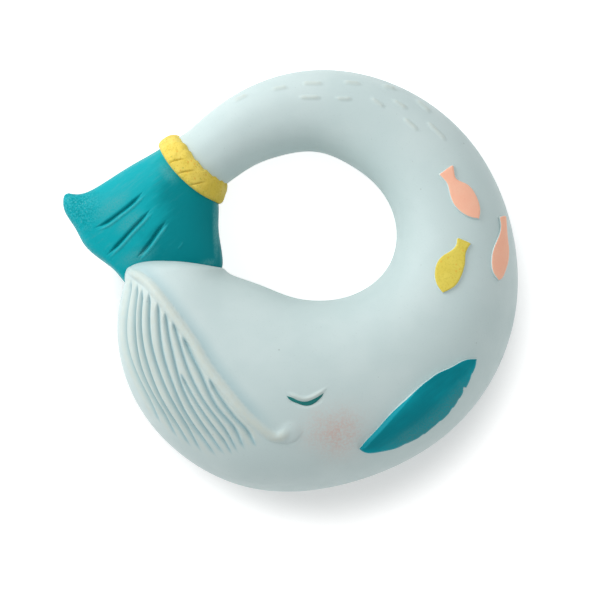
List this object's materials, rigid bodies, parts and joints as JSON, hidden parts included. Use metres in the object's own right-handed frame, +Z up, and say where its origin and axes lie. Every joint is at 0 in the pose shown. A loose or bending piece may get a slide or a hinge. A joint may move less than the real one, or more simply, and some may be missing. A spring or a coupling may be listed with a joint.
{
  "type": "whale teether ring",
  "caption": "Hollow soft rubber baby teether in the form of a curled whale, a ring to grip and chew, with a ribbed collar, a fanned tail and raised flippers and fish.",
  "frame": {"origin": "middle of the bounding box at table level, with the ring lying on its far flank", "axes": "+X along the ring's longest side, away from the tail; +Y towards the back of the whale, away from its head; +Z up, out of the table"},
  "size_m": [0.1004, 0.0932, 0.0358],
  "materials": {
    "body_paint": "matt pale blue hand paint with fine specks on natural rubber",
    "fluke_paint": "matt teal hand paint, brushed and a little uneven",
    "collar_paint": "matt yellow hand paint, ochre specks in the grooves",
    "flipper_paint": "matt teal hand paint",
    "coral_paint": "matt coral hand paint",
    "mustard_paint": "matt mustard hand paint",
    "lash_paint": "matt teal hand paint in a shallow groove"
  },
  "bodies": {
    "root": {"body_shell": "body_paint", "tail_fluke": "fluke_paint", "tail_collar": "collar_paint", "flipper_near": "flipper_paint", "flipper_far": "flipper_paint", "fish_coral_upper": "coral_paint", "fish_coral_edge": "coral_paint", "fish_mustard": "mustard_paint", "lash_near": "lash_paint", "lash_far": "lash_paint"}
  },
  "joints": []
}
